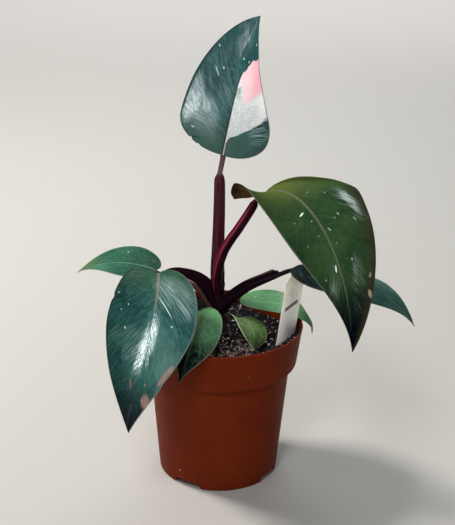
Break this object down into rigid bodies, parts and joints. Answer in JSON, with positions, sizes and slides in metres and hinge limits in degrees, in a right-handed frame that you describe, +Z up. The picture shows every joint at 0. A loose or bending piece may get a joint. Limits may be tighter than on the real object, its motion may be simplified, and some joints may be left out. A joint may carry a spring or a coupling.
{
  "type": "potted philodendron plant",
  "caption": "Potted climbing foliage plant: glossy dark heart-shaped leaves, one with a pink sector, on red petioles in a terracotta-coloured nursery pot with a plain label.",
  "frame": {"origin": "centre of the pot's base, on the surface it stands on", "axes": "+Z up; -Y towards the picture's camera; +X to the right in the picture"},
  "size_m": [0.2496, 0.1808, 0.3424],
  "materials": {
    "terracotta_plastic": "semi-matt injection-moulded plastic, terracotta orange-brown",
    "potting_soil": "rough dark peat with tan fibres and white perlite",
    "red_petiole": "smooth waxy dark burgundy skin",
    "pink_brown_petiole": "smooth pinkish-brown skin",
    "green_petiole": "smooth pale green skin",
    "variegated_leaf": "glossy dark teal-green leaf with a pink and white sector",
    "olive_leaf": "glossy dark olive leaf with a paler rib",
    "dark_leaf": "glossy dark teal-green leaf",
    "fresh_leaf": "satin mid-green leaf",
    "white_plastic": "off-white matt plastic strip"
  },
  "bodies": {
    "root": {"pot": "terracotta_plastic", "soil": "potting_soil", "main_stem": "red_petiole", "top_petiole": "red_petiole", "top_blade": "variegated_leaf", "right_petiole": "red_petiole", "right_blade": "olive_leaf", "left_front_petiole": "pink_brown_petiole", "left_front_blade": "dark_leaf", "left_back_petiole": "red_petiole", "left_back_blade": "dark_leaf", "low_right_petiole": "red_petiole", "low_right_blade": "dark_leaf", "back_right_petiole": "red_petiole", "back_right_blade": "fresh_leaf", "small_left_petiole": "green_petiole", "small_left_blade": "fresh_leaf", "small_front_petiole": "green_petiole", "small_front_blade": "olive_leaf", "plant_label": "white_plastic"}
  },
  "joints": []
}
